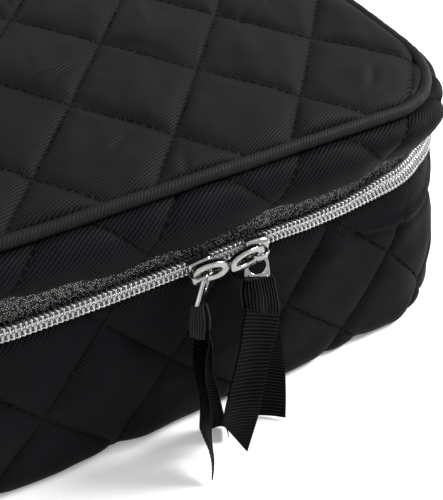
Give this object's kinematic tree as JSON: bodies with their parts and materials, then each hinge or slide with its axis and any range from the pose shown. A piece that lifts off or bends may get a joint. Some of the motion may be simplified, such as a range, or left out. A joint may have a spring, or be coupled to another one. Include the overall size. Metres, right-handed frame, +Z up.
{
  "type": "quilted jewellery case",
  "caption": "Soft zip-around jewellery case in quilted twill with piped lid, coil zip, ribbon-pull sliders, cloth hinge and padded inside with ring rolls and compartments",
  "frame": {"origin": "centre of the flat underside of the case", "axes": "+X to the right along the front with the sliders, +Y from the front to the hinge at the back, +Z up out of the lid"},
  "size_m": [0.2, 0.1692, 0.0781],
  "materials": {
    "quilted_cloth": "black twill microfibre, quilted in diamonds over thin foam",
    "piping_cloth": "black twill over a thin cord",
    "zip_tape": "black woven polyester tape",
    "zip_coil": "silver plated nylon coil",
    "bright_metal": "bright nickel plated die casting",
    "ribbon": "black grosgrain, ribs across the ribbon",
    "lining": "black plain-woven lining",
    "roll_cloth": "dark short-pile velvet over foam",
    "foam": "open-cell foam under velvet",
    "board": "grey board, hidden between the layers",
    "elastic": "narrow black elastic"
  },
  "bodies": {
    "base": {"base_floor_panel": "quilted_cloth", "base_wall": "quilted_cloth", "base_floor_board": "board", "base_wall_board": "board", "base_lining_floor": "lining", "base_lining_wall": "lining", "zip_tape_lower": "zip_tape", "coil_lower": "zip_coil", "back_hinge": "quilted_cloth", "divider_long": "lining", "divider_front": "lining", "divider_back_left": "lining", "divider_back_right": "lining", "roll_bed": "foam", "ring_roll_1": "roll_cloth", "ring_roll_2": "roll_cloth", "ring_roll_3": "roll_cloth", "ring_roll_4": "roll_cloth"},
    "lid": {"lid_top_panel": "quilted_cloth", "lid_band": "quilted_cloth", "lid_piping": "piping_cloth", "lid_top_board": "board", "lid_lining_top": "lining", "lid_lining_band": "lining", "zip_tape_upper": "zip_tape", "coil_upper": "zip_coil", "lid_pocket": "lining", "pocket_elastic": "elastic"},
    "left_slider": {"slider_left": "bright_metal"},
    "left_ring": {"pull_ring_left": "bright_metal"},
    "left_tag": {"link_left": "bright_metal", "ribbon_left": "ribbon", "collar_left": "ribbon"},
    "right_slider": {"slider_right": "bright_metal"},
    "right_ring": {"pull_ring_right": "bright_metal"},
    "right_tag": {"link_right": "bright_metal", "ribbon_right": "ribbon", "collar_right": "ribbon"}
  },
  "joints": [
    {"name": "lid_open", "type": "hinge", "parent": "base", "child": "lid", "pos_m": [0, 0.0703, 0.055], "axis": [-1, 0, 0], "range_deg": [0, 110], "deforming": ["back_hinge"]},
    {"name": "left_slider_slide", "type": "slide", "parent": "base", "child": "left_slider", "axis": [-1, 0, 0], "range_m": [0, 0.08]},
    {"name": "left_ring_swing", "type": "hinge", "parent": "left_slider", "child": "left_ring", "pos_m": [0.0129, -0.07245, 0.055], "axis": [0, 0, -1], "range_deg": [-2, 54]},
    {"name": "left_tag_swing", "type": "hinge", "parent": "left_ring", "child": "left_tag", "pos_m": [0.01759, -0.07278, 0.0525], "axis": [-0.9976, 0.0698, 0], "range_deg": [0, 60]},
    {"name": "right_slider_slide", "type": "slide", "parent": "base", "child": "right_slider", "axis": [1, 0, 0], "range_m": [0, 0.037]},
    {"name": "right_ring_swing", "type": "hinge", "parent": "right_slider", "child": "right_ring", "pos_m": [0.0301, -0.07245, 0.055], "axis": [0, 0, 1], "range_deg": [-2, 45]},
    {"name": "right_tag_swing", "type": "hinge", "parent": "right_ring", "child": "right_tag", "pos_m": [0.02564, -0.07356, 0.0525], "axis": [-0.9703, -0.2419, 0], "range_deg": [0, 50]}
  ]
}
